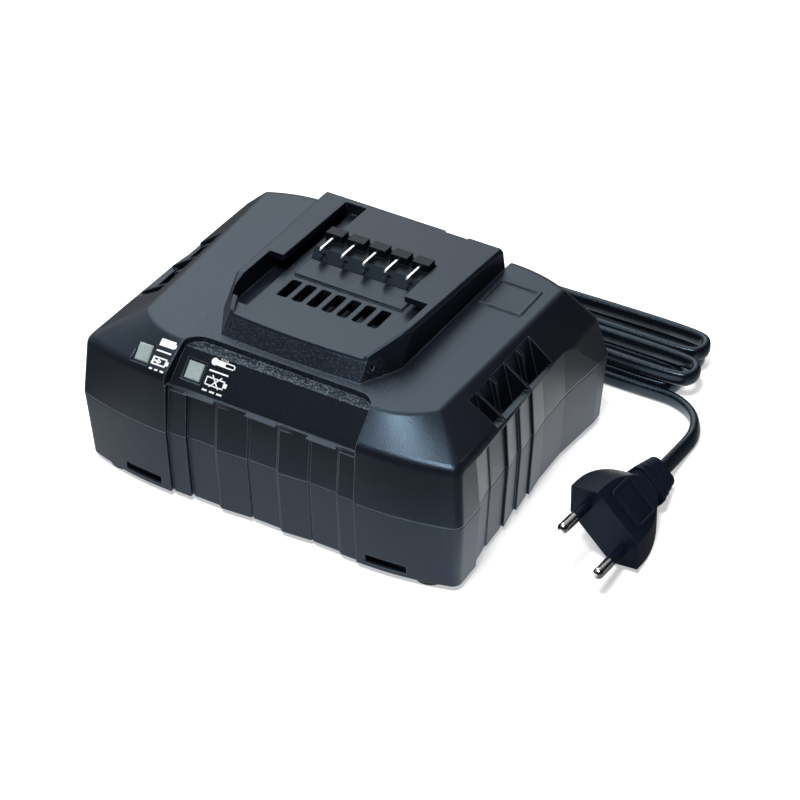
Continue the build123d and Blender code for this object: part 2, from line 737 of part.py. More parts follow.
with BuildPart() as transformer_winding:
    with BuildSketch(Plane.XY.offset(board_top + core_limb)):
        with Locations((core_x, core_y)):
            RectangleRounded(core_leg + 2 * core_window, core_width + 2 * core_window, 4)
            Rectangle(core_leg, core_width, mode=Mode.SUBTRACT)
    extrude(amount=core_height - 2 * core_limb)
transformer_winding.part.label = "transformer_winding"
export_step(transformer_winding.part, "parts/transformer_winding.step")


def standing_cans(places, radius, height, groove):
    """Electrolytic capacitors: round cans with a rolled groove near the board."""
    with BuildPart() as cans:
        with BuildSketch(Plane.XY.offset(board_top)):
            with Locations(*places):
                Circle(radius)
        extrude(amount=height)
        fillet(cans.edges().group_by(Axis.Z)[-1], radius / 8)
        with BuildSketch(Plane.XY.offset(board_top + 2)):
            with Locations(*places):
                Circle(radius)
                Circle(radius - groove, mode=Mode.SUBTRACT)
        extrude(amount=1, mode=Mode.SUBTRACT)
    return cans.part


input_capacitor = standing_cans([(-24, 16)], 9.0, 30.0, 0.6)
input_capacitor.label = "input_capacitor"
export_step(input_capacitor, "parts/input_capacitor.step")

output_capacitors = standing_cans([(44, -8), (44, 4), (44, 16)], 5.0, 20.0, 0.4)
output_capacitors.label = "output_capacitors"
export_step(output_capacitors, "parts/output_capacitors.step")

# Common-mode choke: a ring core with two windings, standing on the board.
choke_radius, choke_bore, choke_width = 9.0, 4.0, 8.0
choke_place = Plane(origin=(-46, 6, board_top + choke_radius), x_dir=(0, 1, 0), z_dir=(1, 0, 0))
with BuildPart() as choke_core:
    with BuildSketch(choke_place):
        Circle(choke_radius)
        Circle(choke_bore, mode=Mode.SUBTRACT)
    extrude(amount=choke_width / 2, both=True)
choke_core.part.label = "choke_core"
export_step(choke_core.part, "parts/choke_core.step")

with BuildPart() as mains_fuse:
    with Locations((-46, -16, board_top + 3)):
        Cylinder(3.0, 16, rotation=(90, 0, 0))
    with Locations((-46, -9.5, board_top + 3), (-46, -22.5, board_top + 3)):
        Box(6.6, 4, 6, mode=Mode.ADD)
mains_fuse.part.label = "mains_fuse"
export_step(mains_fuse.part, "parts/mains_fuse.step")

# Heat sink: an upright plate with fins, and the transistors that are screwed to it.
sink_x, sink_y, sink_length, sink_height, sink_plate = 8.0, -27.0, 60.0, 28.0, 3.0
fin_count, fin_pitch, fin_depth, fin_thickness = 9, 6.6, 9.0, 1.4
with BuildPart() as heat_sink:
    with BuildSketch(Plane.XY.offset(board_top)):
        with Locations((sink_x, sink_y)):
            Rectangle(sink_length, sink_plate)
            with GridLocations(fin_pitch, 1, fin_count, 1):
                with Locations((0, -(sink_plate + fin_depth) / 2)):
                    Rectangle(fin_thickness, fin_depth)
    extrude(amount=sink_height)
heat_sink.part.label = "heat_sink"
export_step(heat_sink.part, "parts/heat_sink.step")

with BuildPart() as power_transistors:
    with Locations(*[(sink_x + dx, sink_y + sink_plate / 2 + 2.3, board_top + 14)
                     for dx in (-20, 0, 20)]):
        Box(10, 4.6, 16)
        with Locations((0, 0, -11)):
            Box(6.5, 1, 6)
power_transistors.part.label = "power_transistors"
export_step(power_transistors.part, "parts/power_transistors.step")

# ================================================================ cooling fan
fan_top = fan_bottom + fan_height
with BuildPart() as fan_frame:
    with BuildSketch(Plane.XY.offset(fan_bottom)):
        with Locations((0, fan_y)):
            RectangleRounded(fan_size, fan_size, 3)
            Circle(fan_bore, mode=Mode.SUBTRACT)
        with Locations(*fan_holes):
            Circle(small_screw_radius, mode=Mode.SUBTRACT)
    extrude(amount=fan_height)
    with BuildSketch(Plane.XY.offset(fan_bottom)):
        with Locations((0, fan_y)):
            Circle(fan_hub_radius)
            with PolarLocations(0, 4, start_angle=45):
                with Locations((fan_bore / 2, 0)):
                    Rectangle(fan_bore + 1.4, fan_strut_width)
    extrude(amount=fan_base)
    with BuildSketch(Plane.XY.offset(fan_bottom)):
        with Locations((0, fan_y)):
            Circle(3.2)
    extrude(amount=fan_base + 2.4)
    with BuildSketch(Plane.XY.offset(fan_bottom + 0.8)):
        with Locations((0, fan_y)):
            Circle(fan_shaft_radius + bearing_clearance)
    extrude(amount=fan_height, mode=Mode.SUBTRACT)
fan_frame.part.label = "fan_frame"
export_step(fan_frame.part, "parts/fan_frame.step")

hub_bottom = fan_bottom + fan_base + rotor_gap
hub_top = fan_top - rotor_gap
with BuildPart() as fan_rotor:
    with BuildSketch(Plane.XY.offset(hub_bottom)):
        with Locations((0, fan_y)):
            Circle(fan_hub_radius)
    extrude(amount=hub_top - hub_bottom)
    with BuildSketch(Plane.XY.offset(hub_bottom)):
        with Locations((0, fan_y)):
            Circle(fan_hub_radius - 1.2)
    extrude(amount=hub_top - hub_bottom - 1.4, mode=Mode.SUBTRACT)
    with BuildSketch(Plane.XY.offset(fan_bottom + 0.8 + rotor_gap)):
        with Locations((0, fan_y)):
            Circle(fan_shaft_radius)
    extrude(amount=hub_top - fan_bottom - 0.8 - rotor_gap)
    vane_length = fan_bore - rotor_gap - fan_hub_radius + 1
    with Locations((0, fan_y, (hub_bottom + hub_top) / 2)):
        with PolarLocations(fan_hub_radius + vane_length / 2 - 1, fan_blade_count):
            Box(vane_length, fan_vane_chord, fan_blade_thickness, rotation=(fan_vane_pitch, 0, 0))
        Cylinder(fan_bore - rotor_gap, hub_top - hub_bottom + 20, mode=Mode.INTERSECT)
fan_rotor.part.label = "fan_rotor"
export_step(fan_rotor.part, "parts/fan_rotor.step")

# ================================================================ battery contacts

def dock_z(y, above):
    """Height of the dock's top plane at y, plus a distance above it."""
    return dock_top_height - dock_top_slope * y + above


blades = []
for number, x in enumerate(blade_places, start=1):
    with BuildPart() as contact_blade:
        with BuildSketch(Plane.YZ.offset(x - blade_thickness / 2)):
            with BuildLine():
                crest = Line((blade_rear, dock_z(blade_rear, blade_top_above_dock)),
                             (blade_front + 2, dock_z(blade_front + 2, blade_top_above_dock)))
                curl = TangentArc(crest @ 1, (blade_front, crest.position_at(1).Y - 2),
                                  tangent=crest % 1)
                Polyline(curl @ 1, (blade_front, floor_height + 2),
                         (blade_stem_front, floor_height + 0.2),
                         (blade_stem_front, terminal_board_height - blade_tail),
                         (blade_rear, terminal_board_height - blade_tail), crest @ 0)
            make_face()
        extrude(amount=blade_thickness)
    contact_blade.part.label = f"contact_blade_{number}"
    export_step(contact_blade.part, f"parts/contact_blade_{number}.step")
    blades.append(contact_blade.part)

# Insulating block that holds the blades, with a cap behind each and a neck through the floor.
terminal_board_top = terminal_board_height + board_thickness
with BuildPart() as contact_block:
    with BuildSketch(Plane.YZ.offset(block_left)):
        with BuildLine():
            slope_top = block_front + block_slope_depth
            Polyline((block_front, cut_bottom), (block_front, floor_height - 0.6),
                     (slope_top, dock_z(slope_top, -block_top_below_dock)),
                     (deck_front, dock_z(deck_front, -block_top_below_dock)), (deck_front, cut_bottom),
                     close=True)
        make_face()
    extrude(amount=block_right - block_left)
    split(bisect_by=dock_floor.offset(floor_step), keep=Keep.TOP)
    for x in blade_places:
        box_at((x - block_slot_width / 2, x + block_slot_width / 2),
               (block_front - 1, blade_stem_front - 0.6), (floor_height + 1.2, cut_top),
               mode=Mode.SUBTRACT)
    for x in blade_places:
        with BuildSketch(Plane.YZ.offset(x - cap_width / 2)):
            with BuildLine():
                Polyline((cap_front - 0.6, dock_z(cap_front, -block_top_below_dock - 0.5)),
                         (cap_front, dock_z(cap_front, cap_height - block_top_below_dock)),
                         (deck_front, dock_z(deck_front, cap_height - block_top_below_dock)),
                         (deck_front, dock_z(deck_front, -block_top_below_dock - 0.5)),
                         close=True)
            make_face()
        extrude(amount=cap_width)
    box_at((block_neck_left + block_clearance, block_neck_right - block_clearance),
           (block_neck_front + block_clearance, block_neck_rear - block_clearance),
           (terminal_board_top, floor_height - 0.2))
    for blade in blades:
        add(blade, mode=Mode.SUBTRACT)
contact_block.part.label = "contact_block"
export_step(contact_block.part, "parts/contact_block.step")

with BuildPart() as terminal_board:
    box_at((block_neck_left - 1.4, block_neck_right + 2), (block_neck_front - 0.8,
           block_neck_rear + 0.8), (terminal_board_height, terminal_board_top))
    for blade in blades:
        add(blade, mode=Mode.SUBTRACT)
terminal_board.part.label = "terminal_board"
export_step(terminal_board.part, "parts/terminal_board.step")

# ================================================================ indicator lights
for name, (edges, rise) in windows.items():
    with BuildPart() as light_window:
        with BuildSketch(panel_face.offset(-window_skin)):
            with Locations(((edges[0] + edges[1]) / 2, window_middle)):
                Rectangle(edges[1] - edges[0], window_length)
        extrude(amount=window_skin + rise)
        outward = Axis(panel_face.origin, panel_face.z_dir)
        chamfer(light_window.faces().sort_by(outward)[-1].edges(), 0.3)
    light_window.part.label = name
    export_step(light_window.part, f"parts/{name}.step")

with BuildPart() as indicator_leds:
    with BuildSketch(panel_face.offset(-window_skin - led_height)):
        for edges in (fault_window, charge_window):
            with Locations(((edges[0] + edges[1]) / 2, window_middle)):
                Rectangle(3.2, 2.8)
    extrude(amount=led_height)
indicator_leds.part.label = "indicator_leds"
export_step(indicator_leds.part, "parts/indicator_leds.step")

light_board_face = panel_face.offset(-window_skin - led_height)
with BuildPart() as indicator_board:
    with BuildSketch(light_board_face):
        with Locations(((light_board_left + light_board_right) / 2,
                        (light_board_top + light_board_bottom) / 2)):
            Rectangle(light_board_right - light_board_left, light_board_top - light_board_bottom)
        with Locations((light_post_x, window_middle)):
            Circle(small_screw_radius, mode=Mode.SUBTRACT)
    extrude(amount=-light_board_thickness)
indicator_board.part.label = "indicator_board"
export_step(indicator_board.part, "parts/indicator_board.step")

indicator_screw = screws(light_board_face.offset(-light_board_thickness),
                         [(light_post_x, window_middle)], small_head_radius, small_head_height,
                         small_screw_radius, light_board_thickness + small_screw_bite)
indicator_screw.label = "indicator_screw"
export_step(indicator_screw, "parts/indicator_screw.step")

# ================================================================ mains lead
# Strain relief: a bush that grips the rear wall and tapers out along the lead.
relief_start = half_depth - 1.5
relief_inner = half_depth - wall - rib_allowance - relief_grip
relief_end = half_depth + relief_length
exit_point = (cord_exit_x, 0, cord_exit_height)
with BuildPart() as strain_relief:
    with BuildSketch(Plane(origin=exit_point, x_dir=(0, 1, 0), z_dir=(1, 0, 0))):
        with BuildLine():
            Polyline((relief_inner - 2.5, 0), (relief_inner - 2.5, relief_collar_radius),
                     (relief_inner, relief_collar_radius), (relief_inner, relief_neck_radius),
                     (relief_start, relief_neck_radius),
                     (relief_start, relief_collar_radius),
                     (relief_start + 3, relief_collar_radius), (relief_end, relief_tip_radius),
                     (relief_end, 0), close=True)
        make_face()
    revolve(axis=Axis(exit_point, (0, 1, 0)))
strain_relief.part.label = "strain_relief"
export_step(strain_relief.part, "parts/strain_relief.step")


def cord_radii(points, share=0.45):
    """Radius at each corner: a share of its shorter run over the tangent of half the turn."""
    radii = []
    for before, here, after in zip(points, points[1:], points[2:]):
        run_in, run_out = Vector(*here) - Vector(*before), Vector(*after) - Vector(*here)
        shorter = min(run_in.length, run_out.length)
        radii.append(share * shorter / tan(radians(run_in.get_angle(run_out)) / 2))
    return radii


def cord(points):
    """Flat lead lying on edge along straight runs joined by tangent arcs."""
    radii = cord_radii(points)
    with BuildPart() as lead:
        with BuildLine() as route:
            FilletPolyline(*points, radius=radii)
        with BuildSketch(Plane(origin=points[0], x_dir=(0, 0, 1),
                               z_dir=Vector(*points[1]) - Vector(*points[0]))):
            RectangleRounded(cord_width, cord_thickness, cord_thickness * 0.48)
        sweep(path=route.wire())
    print("radii", [round(r, 1) for r in radii], "volume over section x length",
          lead.part.volume / (route.wire().length * lead_section))
    return lead.part


with BuildSketch() as section:
    RectangleRounded(cord_width, cord_thickness, cord_thickness * 0.48)
lead_section = section.sketch.area

hank_left, hank_right = -32.0, 95.0
hank_far, hank_near = 104.4, 73.6
lead_strand_y = 70.4
lead_start = 62.0  # where the plug's lead leaves the hank
hank_corner = 6.0
entry_strand_y = 102.6
exit_route = [
    (cord_exit_x, relief_end, cord_exit_height),
    (cord_exit_x, 84.8, cord_exit_height),
    (-55.2, 92.6, 11.6),
    (-49.0, 99.0, 7.2),
    (-40.5, entry_strand_y, cord_bed),
    (hank_left, entry_strand_y, cord_bed),
]
exit_lead = cord(exit_route)
exit_lead.label = "mains_lead"
export_step(exit_lead, "parts/mains_lead.step")

plug_route = [
    (lead_start, lead_strand_y, cord_bed),
    (78, lead_strand_y, cord_bed),
    (92, 71.0, cord_bed),
    (102, 65.5, cord_bed),
    (106.2, 56, 3.1),
    (105.6, 47, cord_bed),
    plug_tail.offset(-8).origin.to_tuple(),
    plug_tail.origin.to_tuple(),
]
plug_lead = cord(plug_route)
plug_lead.label = "plug_lead"
export_step(plug_lead, "parts/plug_lead.step")

with BuildPart() as cord_hank:
    with BuildSketch():
        with BuildLine():
            Polyline((hank_left, lead_strand_y - cord_thickness / 2),
                     (hank_left - hank_corner, hank_near + 2.4),
                     (hank_left - hank_corner, entry_strand_y - 8.6),
                     (hank_left, entry_strand_y - 2.6), (hank_left, hank_far),
                     (hank_right - hank_corner - 1, hank_far), (hank_right, hank_far - 6.4),
                     (hank_right, hank_near + 5.4), (hank_right - 5, hank_near),
                     (lead_start, hank_near), (lead_start, lead_strand_y - cord_thickness / 2),
                     close=True)
        make_face()
    extrude(amount=2 * cord_width)
cord_hank.part.label = "cord_hank"
export_step(cord_hank.part, "parts/cord_hank.step")

# ================================================================ Europlug
plug_half_width, plug_half_height = 17.65, 6.85
plug_straight = 4.0  # length of the straight part behind the face
plug_shoulder = 28.0  # where the rounded shoulders end
plug_neck_half_width, plug_neck_half_height = 8.6, 5.6
plug_sections = 11
grip_near, grip_far, grip_half_width, grip_rim, grip_height = 6.0, 19.0, 7.6, 1.0, 0.5
ring_count, ring_pitch, ring_length = 4, 3.6, 2.0
tail_half_width, tail_half_height = 5.0, 3.6
pin_spacing, pin_radius, pin_length, sleeve_length = 18.6, 2.0, 19.0, 10.0
sleeve_radius, pin_core_radius = 1.8, 1.4
pin_socket = 8.0
pin_places = [(-pin_spacing / 2, 0), (pin_spacing / 2, 0)]


def hexagon(plane, half_width, half_height):
    """Flat hexagon with pointed ends: the shape of the plug's face."""
    with BuildSketch(plane) as face:
        with BuildLine():
            Polyline((-half_width, 0), (half_height - half_width, -half_height),
                     (half_width - half_height, -half_height), (half_width, 0),
                     (half_width - half_height, half_height),
                     (half_height - half_width, half_height), close=True)
        make_face()
    return face.sketch


def rounded(plane, half_width, half_height):
    """Section of the plug's tail: a rectangle with well rounded corners."""
    with BuildSketch(plane) as section:
        RectangleRounded(2 * half_width, 2 * half_height, 0.7 * half_height)
    return section.sketch


def shoulder_section(step):
    """Section of the plug's rounded shoulders, which curve in along an arc."""
    run, drop = plug_shoulder - plug_straight, plug_half_width - plug_neck_half_width
    bend = (run**2 + drop**2) / (2 * drop)
    depth = run * step / (plug_sections - 1)
    half_width = plug_half_width - bend + sqrt(bend**2 - depth**2)
    taper = (plug_half_height - plug_neck_half_height) * (step / (plug_sections - 1)) ** 2
    return hexagon(plug_face.offset(-plug_straight - depth), half_width,
                   plug_half_height - taper)


with BuildPart() as plug_body:
    loft([hexagon(plug_face, plug_half_width, plug_half_height)]
         + [shoulder_section(step) for step in range(plug_sections)], ruled=True)
    loft([rounded(plug_face.offset(1 - plug_shoulder), plug_neck_half_width - 1.6,
                  plug_neck_half_height - 0.8),
          rounded(plug_tail, tail_half_width, tail_half_height)], ruled=True)
    for ring in range(ring_count):
        with BuildSketch(plug_face.offset(-plug_shoulder - 1.6 - ring * ring_pitch)):
            RectangleRounded(2 * (plug_neck_half_width - 0.8 - ring * 0.55),
                             2 * (plug_neck_half_height - 0.2 - ring * 0.4), 3.0)
        extrude(amount=-ring_length)
    for side in (1, -1):
        grip_plane = Plane(origin=plug_face.origin + plug_face.y_dir * (side * plug_half_height),
                           x_dir=plug_face.x_dir, z_dir=plug_face.y_dir * side)
        with BuildSketch(grip_plane.offset(-1)):
            with Locations((0, side * (grip_near + grip_far) / 2)):
                RectangleRounded(2 * grip_half_width, grip_far - grip_near, 1.5)
        extrude(amount=1 + grip_height)
        with BuildSketch(grip_plane.offset(grip_height)):
            with Locations((0, side * (grip_near + grip_far) / 2)):
                RectangleRounded(2 * (grip_half_width - grip_rim),
                                 grip_far - grip_near - 2 * grip_rim, 0.8)
        extrude(amount=-grip_height * 0.7, mode=Mode.SUBTRACT)
    with BuildSketch(plug_face.offset(-pin_socket)):
        with Locations(*pin_places):
            Circle(pin_core_radius)
    extrude(amount=pin_socket, mode=Mode.SUBTRACT)
plug_body.part.label = "plug_body"
export_step(plug_body.part, "parts/plug_body.step")

with BuildPart() as plug_pins:
    with BuildSketch(plug_face.offset(-pin_socket)):
        with Locations(*pin_places):
            Circle(pin_core_radius)
    extrude(amount=pin_socket + sleeve_length)
    with BuildSketch(plug_face.offset(sleeve_length)):
        with Locations(*pin_places):
            Circle(pin_radius)
    extrude(amount=pin_length - sleeve_length)
    outward = Axis(plug_face.origin, plug_face.z_dir)
    fillet(plug_pins.edges().group_by(outward)[-1], pin_radius * 0.9)
plug_pins.part.label = "plug_pins"
export_step(plug_pins.part, "parts/plug_pins.step")

with BuildPart() as pin_sleeves:
    with BuildSketch(plug_face):
        with Locations(*pin_places):
            Circle(sleeve_radius)
        with Locations(*pin_places):
            Circle(pin_core_radius, mode=Mode.SUBTRACT)
    extrude(amount=sleeve_length)
pin_sleeves.part.label = "pin_sleeves"
export_step(pin_sleeves.part, "parts/pin_sleeves.step")
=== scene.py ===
"""Looks of the battery charger: materials, printed signs, the mains lead, light and camera.

Metres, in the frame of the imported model: X across the charger, Y to its rear, Z up.
"""

import json
import math

import bpy
from mathutils import Matrix, Vector
from mathutils.bvhtree import BVHTree


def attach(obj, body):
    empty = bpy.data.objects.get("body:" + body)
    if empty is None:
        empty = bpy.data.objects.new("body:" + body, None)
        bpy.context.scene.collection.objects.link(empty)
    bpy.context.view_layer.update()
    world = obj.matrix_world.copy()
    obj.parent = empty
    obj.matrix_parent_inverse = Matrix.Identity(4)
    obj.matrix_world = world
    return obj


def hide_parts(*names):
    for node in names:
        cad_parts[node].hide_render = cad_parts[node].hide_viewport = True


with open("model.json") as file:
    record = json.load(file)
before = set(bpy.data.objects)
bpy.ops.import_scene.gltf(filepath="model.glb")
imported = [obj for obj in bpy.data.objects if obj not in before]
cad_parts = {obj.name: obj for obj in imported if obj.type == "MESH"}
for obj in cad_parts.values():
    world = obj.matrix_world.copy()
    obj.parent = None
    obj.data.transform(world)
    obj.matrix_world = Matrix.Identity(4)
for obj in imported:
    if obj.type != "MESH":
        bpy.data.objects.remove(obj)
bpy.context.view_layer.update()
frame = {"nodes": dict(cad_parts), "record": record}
nodes = frame["nodes"]
MM = 0.001

# ---------------------------------------------------------------- camera
CAMERA_AZIMUTH = math.radians(29.888)
CAMERA_ELEVATION = math.radians(38.972)
CAMERA_ROLL = math.radians(-0.31)
CAMERA_DISTANCE = 1.0768
CAMERA_SHIFT = (-0.017741, -0.012566)  # how far the view's middle lies from the origin
FOCAL_PIXELS = 3088.2
IMAGE_PIXELS = 800
SENSOR = 36.0


def make_camera():
    """Camera at the angle, distance and lens that were fitted to the object's corners."""
    a, e, r = CAMERA_AZIMUTH, CAMERA_ELEVATION, CAMERA_ROLL
    back = Vector((math.sin(a) * math.cos(e), -math.cos(a) * math.cos(e), math.sin(e)))
    right = Vector((math.cos(a), math.sin(a), 0))
    up = back.cross(right)
    across = right * math.cos(r) + up * math.sin(r)
    upward = up * math.cos(r) - right * math.sin(r)
    data = bpy.data.cameras.new("camera")
    data.sensor_width = SENSOR
    data.lens = FOCAL_PIXELS / IMAGE_PIXELS * SENSOR
    data.clip_start, data.clip_end = 0.1, 20
    camera = bpy.data.objects.new("camera", data)
    turn = Matrix((across, upward, back)).transposed().to_4x4()
    place = back * CAMERA_DISTANCE - across * CAMERA_SHIFT[0] - upward * CAMERA_SHIFT[1]
    camera.matrix_world = Matrix.Translation(place) @ turn
    bpy.context.scene.collection.objects.link(camera)
    bpy.context.scene.camera = camera


# ---------------------------------------------------------------- material helpers
SOFT_BORDER = 0.15 * MM  # half the width over which a region of a material fades out
ROUNDING_SAMPLES = 6
HIGHLIGHT_RANGE = (0.014, 0.13)  # turn of the normal, as 1 - cosine, where the painted edge highlight starts and is full


class Shader:
    """A material with a Principled shader and short calls for the nodes that feed it."""

    def __init__(self, name, **values):
        self.material = bpy.data.materials.new(name)
        self.material.use_nodes = True
        self.tree = self.material.node_tree
        self.shader = self.tree.nodes["Principled BSDF"]
        for key, value in values.items():
            socket = key.replace("_", " ").title().replace("Ior", "IOR")
            self.shader.inputs[socket].default_value = value
        self.place = self.tree.nodes.new("ShaderNodeTexCoord").outputs["Object"]

    def node(self, kind, inputs=(), **values):
        """A new node: its settings by name, its inputs as pairs of socket and value or link."""
        made = self.tree.nodes.new(kind)
        for key, value in values.items():
            setattr(made, key, value)
        for socket, value in dict(inputs).items():
            if isinstance(value, bpy.types.NodeSocket):
                self.tree.links.new(value, made.inputs[socket])
            else:
                made.inputs[socket].default_value = value
        return made

    def noise(self, scale, detail=2.0, roughness=0.5, vector=None):
        """Noise whose grains are about 1 / scale metres across."""
        inputs = {"Vector": vector or self.place, "Scale": scale, "Detail": detail,
                  "Roughness": roughness}
        return self.node("ShaderNodeTexNoise", inputs).outputs["Fac"]

    def stretched(self, scale):
        """Object coordinates scaled by a different amount along each axis."""
        mapping = self.node("ShaderNodeMapping", {"Vector": self.place, "Scale": scale})
        return mapping.outputs["Vector"]

    def ramp(self, value, low, high, out_low, out_high):
        """Value from low to high, carried over to out_low to out_high and held at both ends."""
        inputs = {"Value": value, "From Min": low, "From Max": high, "To Min": out_low,
                  "To Max": out_high}
        return self.node("ShaderNodeMapRange", inputs).outputs["Result"]

    def math(self, operation, a, b=0.0):
        """Result of one arithmetic operation."""
        made = self.tree.nodes.new("ShaderNodeMath")
        made.operation = operation
        for socket, value in zip(made.inputs, (a, b)):
            if isinstance(value, bpy.types.NodeSocket):
                self.tree.links.new(value, socket)
            else:
                socket.default_value = value
        return made.outputs[0]

    def mix(self, factor, a, b):
        """Colour a where factor is 0 and b where it is 1."""
        made = self.tree.nodes.new("ShaderNodeMix")
        made.data_type = "RGBA"
        for socket, value in ((made.inputs[0], factor), (made.inputs[6], a), (made.inputs[7], b)):
            if isinstance(value, bpy.types.NodeSocket):
                self.tree.links.new(value, socket)
            else:
                socket.default_value = value
        return made.outputs[2]

    def inside(self, low, high):
        """1 inside a box between two corners and 0 outside it, with soft edges."""
        soft = SOFT_BORDER
        xyz = self.node("ShaderNodeSeparateXYZ", {"Vector": self.place})
        product = 1.0
        for axis, (start, end) in enumerate(zip(low, high)):
            rise = self.ramp(xyz.outputs[axis], start - soft, start + soft, 0, 1)
            fall = self.ramp(xyz.outputs[axis], end - soft, end + soft, 1, 0)
            product = self.math("MULTIPLY", self.math("MULTIPLY", rise, fall), product)
        return product

    def feed(self, socket, value):
        """Links a value to one of the shader's own sockets."""
        self.tree.links.new(value, self.shader.inputs[socket])

    def rounded(self, radius):
        """Normal that looks as if every sharp edge were rounded to a radius."""
        made = self.node("ShaderNodeBevel", {"Radius": radius}, samples=ROUNDING_SAMPLES)
        return made.outputs["Normal"]

    def edge_highlight_mask(self, radius):
        """1 along sharp edges, found where the rounded normal leaves the true one; masks the
        painted edge highlights.
        """
        true = self.node("ShaderNodeNewGeometry").outputs["Normal"]
        turn = self.node("ShaderNodeVectorMath", {0: self.rounded(radius), 1: true},
                         operation="DOT_PRODUCT")
        away = self.math("SUBTRACT", 1.0, turn.outputs["Value"])
        return self.ramp(away, *HIGHLIGHT_RANGE, 0, 1)

    def bump(self, height, distance, normal=None):
        """Bump of a height whose unit is a distance in metres."""
        inputs = {"Height": height, "Distance": distance}
        if normal is not None:
            inputs["Normal"] = normal
        return self.node("ShaderNodeBump", inputs).outputs["Normal"]


def grey(level, blue=1.15):
    """Grey with a blue cast."""
    return (level * 0.92, level, level * blue, 1)


# ---------------------------------------------------------------- materials
STRIP_LOW = Vector((-36.0, -44.7, 56.4)) * MM  # grained strip over the front panel
STRIP_HIGH = Vector((36.0, -40.2, 57.4)) * MM
PANEL_LOW = Vector((-36.4, -55.0, 46.8)) * MM  # smooth sloping panel under it
PANEL_HIGH = Vector((36.4, -44.4, 57.1)) * MM
DOCK_FRONT_LOW = Vector((-36.6, -41.0, 57.3)) * MM  # grained front of the battery dock
DOCK_FRONT_HIGH = Vector((36.6, -27.0, 64.9)) * MM
SHEEN = (0.50, 0.74, 0.97, 1)  # cool cast of the plastic's reflections
# painted highlight colour along sharp edges
EDGE_HIGHLIGHT = (0.15, 0.19, 0.21, 1)
GLINT = (0.13, 0.155, 0.18, 1)  # painted glints on the crests of the coarse grain
BLUE_CAST = 1.7  # of the housing's colour, against its green
SEAM_HEIGHT = 29.0 * MM  # where the two shells meet
SEAM_GROOVE = (0.1 * MM, 0.45 * MM)  # from its middle to its foot and to its rim
HOUSING_BUMP = 0.06 * MM  # height of the fine grain
COARSE_DEPTH, SEAM_DEPTH = 9.0, 7.0  # times as deep as the fine grain
# edge rounding, and width of the band of painted highlight along sharp edges
EDGE_ROUNDING, HIGHLIGHT_WIDTH = 0.6 * MM, 0.3 * MM
SMALL_ROUNDING, SMALL_HIGHLIGHT_WIDTH = 0.3 * MM, 0.18 * MM  # on the smaller mouldings
METAL_STREAKS = (300, 300, 4000)  # per metre along each axis


def housing_plastic(name, tone, roughness):
    """Charcoal plastic: fine grain, smooth panel, coarse strip, painted glints and edge
    highlights, groove at the seam.
    """
    m = Shader(name)
    m.shader.inputs["IOR"].default_value = 1.52
    m.shader.inputs["Specular Tint"].default_value = SHEEN
    fine = m.noise(2600, 3)
    cloud = m.noise(40, 3)
    body = m.mix(m.ramp(cloud, 0.3, 0.7, 0, 1), grey(tone * 0.87, BLUE_CAST),
                 grey(tone * 1.13, BLUE_CAST))
    speck = m.ramp(m.noise(1500, 1), 0.58, 0.72, 0, 1)
    body = m.mix(m.math("MULTIPLY", speck, 0.4), body, grey(tone * 2, 1.3))
    strip = m.inside(STRIP_LOW, STRIP_HIGH)
    panel = m.inside(PANEL_LOW, PANEL_HIGH)
    front = m.inside(DOCK_FRONT_LOW, DOCK_FRONT_HIGH)
    coarse = m.noise(1500, 2, 0.6)
    # Painted glints: paler colour on the crests of the coarse grain, full in the strip and faint
    # on the dock's front.
    glint = m.ramp(coarse, 0.5, 0.64, 0, 1)
    grain = m.math("ADD", strip, m.math("MULTIPLY", front, 0.16))
    body = m.mix(m.math("MULTIPLY", grain, glint), body, GLINT)
    # Painted highlight: paler colour along sharp edges, its strength varying at random.
    painted_highlight = m.math("MULTIPLY", m.edge_highlight_mask(HIGHLIGHT_WIDTH), m.ramp(cloud, 0.3, 0.6, 0.4, 1))
    body = m.mix(painted_highlight, body, EDGE_HIGHLIGHT)
    height_above = m.node("ShaderNodeSeparateXYZ", {"Vector": m.place}).outputs["Z"]
    from_seam = m.math("ABSOLUTE", m.math("SUBTRACT", height_above, SEAM_HEIGHT))
    seam = m.ramp(from_seam, *SEAM_GROOVE, 1, 0)
    m.feed("Base Color", body)
    rough = m.ramp(fine, 0.3, 0.7, roughness - 0.04, roughness + 0.04)
    rough = m.math("SUBTRACT", rough, m.math("MULTIPLY", panel, 0.08))
    rough = m.math("ADD", rough, m.math("MULTIPLY", grain, 0.15))
    m.feed("Roughness", rough)
    height = m.math("MULTIPLY", fine, m.math("SUBTRACT", 1.0, m.math("MULTIPLY", panel, 0.8)))
    pebbles = m.math("MULTIPLY", m.math("MULTIPLY", coarse, grain), COARSE_DEPTH)
    height = m.math("ADD", height, pebbles)
    height = m.math("SUBTRACT", height, m.math("MULTIPLY", seam, SEAM_DEPTH))
    m.feed("Normal", m.bump(height, HOUSING_BUMP, m.rounded(EDGE_ROUNDING)))
    return m.material


def plain_plastic(name, colour, roughness, grain=1800, depth=0.03 * MM, **values):
    """Moulded plastic or rubber: fine grain, slight clouds in colour, soft edges with a painted
    highlight.
    """
    m = Shader(name, specular_tint=SHEEN, **values)
    cloud = m.noise(60, 3)
    lighter = tuple(c * 1.35 for c in colour[:3]) + (1,)
    body = m.mix(m.ramp(cloud, 0.35, 0.65, 0, 1), colour, lighter)
    # Painted highlight: paler colour along sharp edges.
    pale = tuple(c * 3 + 0.03 for c in colour[:3]) + (1,)
    m.feed("Base Color", m.mix(m.edge_highlight_mask(SMALL_HIGHLIGHT_WIDTH), body, pale))
    fine = m.noise(grain, 3)
    m.feed("Roughness", m.ramp(fine, 0.3, 0.7, roughness - 0.06, roughness + 0.06))
    m.feed("Normal", m.bump(fine, depth, m.rounded(SMALL_ROUNDING)))
    return m.material


